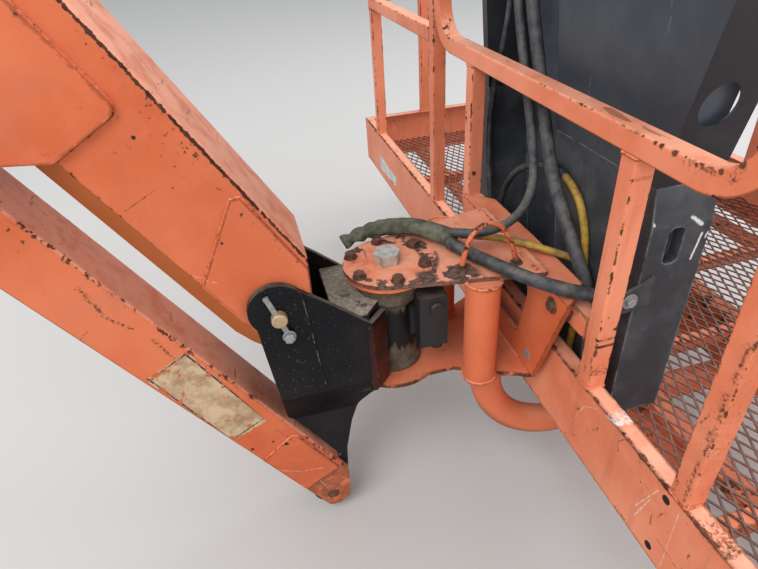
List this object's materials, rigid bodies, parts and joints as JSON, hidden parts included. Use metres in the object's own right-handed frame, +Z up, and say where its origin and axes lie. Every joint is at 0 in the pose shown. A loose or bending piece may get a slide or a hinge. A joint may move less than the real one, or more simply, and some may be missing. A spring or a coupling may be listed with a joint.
{
  "type": "jib, rotator and work platform of a telescopic boom lift",
  "caption": "Boom lift's end: parallelogram jib with its cylinder, rotator and a railed work platform with control console and inward gate.",
  "frame": {"origin": "centre of the bore in the base bracket where the boom nose's pivot pin goes", "axes": "+X from the boom nose to the platform, +Y to the left seen along +X, +Z up; shown stowed, with the jib at its lowest"},
  "size_m": [2.4597, 2.4384, 2.0565],
  "materials": {
    "orange_paint": "faded gloss paint, chipped, with rust at edges and welds",
    "black_paint": "glossy black paint, dusty on top and scratched",
    "zinc_steel": "dull zinc plate",
    "rusty_steel": "brown rust",
    "chrome_rod": "polished hard chrome",
    "aluminium_block": "machined, dull",
    "plastic_grey": "worn moulded plastic",
    "rubber_black": "soft, dusty",
    "hose_rubber": "smooth hose cover",
    "galvanised": "galvanised, dirty"
  },
  "bodies": {
    "base": {"base_plates": "orange_paint", "nose_tube": "zinc_steel", "base_web": "orange_paint", "base_pins": "rusty_steel", "cylinder_base_pin": "rusty_steel"},
    "arm": {"upper_arm": "orange_paint", "rod_lugs": "orange_paint", "rod_pins": "rusty_steel"},
    "link": {"lower_link": "orange_paint", "link_end_pin": "rusty_steel"},
    "barrel": {"cylinder_barrel": "black_paint"},
    "rod": {"cylinder_rod": "chrome_rod"},
    "fork": {"fork_plates": "black_paint", "fork_shelves": "black_paint", "fork_web": "black_paint", "arm_end_pin": "zinc_steel", "rotator_housing": "black_paint", "valve_block": "aluminium_block"},
    "gate_leaf": {"gate": "orange_paint"},
    "platform": {"console_foot": "plastic_grey", "console_panel": "black_paint", "control_box": "plastic_grey", "control_levers": "rubber_black", "floor_bars": "orange_paint", "floor_deck": "galvanised", "foot_switch": "rubber_black", "gate_hinges": "orange_paint", "gate_stop": "orange_paint", "hose_guide": "orange_paint", "hose_lift": "hose_rubber", "hose_loop": "hose_rubber", "hose_main": "hose_rubber", "hose_return": "hose_rubber", "hose_signal": "hose_rubber", "hose_sleeve": "hose_rubber", "hose_supply": "hose_rubber", "low_rail": "orange_paint", "mid_rails": "orange_paint", "mount_plate": "orange_paint", "mount_spacers": "rusty_steel", "posts": "orange_paint", "rotator_bolts": "rusty_steel", "rotator_bottom_plate": "orange_paint", "rotator_shaft": "orange_paint", "rotator_top_plate": "orange_paint", "support_beams": "orange_paint", "support_elbows": "orange_paint", "support_pipes": "orange_paint", "toe_boards": "orange_paint", "top_rails": "orange_paint", "u_rail": "orange_paint"}
  },
  "joints": [
    {"name": "jib_lift", "type": "hinge", "parent": "base", "child": "arm", "pos_m": [0.22, 0, 0.16], "axis": [0, -1, 0], "range_deg": [0, 125]},
    {"name": "link_lift", "type": "hinge", "parent": "base", "child": "link", "pos_m": [0.259, 0, -0.376], "axis": [0, -1, 0], "range_deg": [0, 125]},
    {"name": "fork_level", "type": "hinge", "parent": "arm", "child": "fork", "pos_m": [1.02, 0, -1.22564], "axis": [0, -1, 0], "range_deg": [-125, 0]},
    {"name": "barrel_pivot", "type": "hinge", "parent": "base", "child": "barrel", "pos_m": [0.237, 0, -0.127], "axis": [0, -1, 0], "range_deg": [0, 125.33]},
    {"name": "rod_slide", "type": "slide", "parent": "barrel", "child": "rod", "axis": [0.5008, 0, -0.8656], "range_m": [0, 0.5101]},
    {"name": "swing", "type": "hinge", "parent": "fork", "child": "platform", "pos_m": [1.225, 0, 0], "axis": [0, 0, 1], "range_deg": [-90, 90]},
    {"name": "gate_hinge", "type": "hinge", "parent": "platform", "child": "gate_leaf", "pos_m": [2.37752, 0.30743, 0], "axis": [0, 0, -1], "range_deg": [0, 90]}
  ],
  "couplings": [
    {"joint": "link_lift", "follows": "jib_lift", "ratio": 1},
    {"joint": "fork_level", "follows": "jib_lift", "ratio": -1},
    {"joint": "barrel_pivot", "follows": "jib_lift", "ratio": 1.0026},
    {"joint": "rod_slide", "follows": "jib_lift", "m_per_rad": 0.23377}
  ]
}
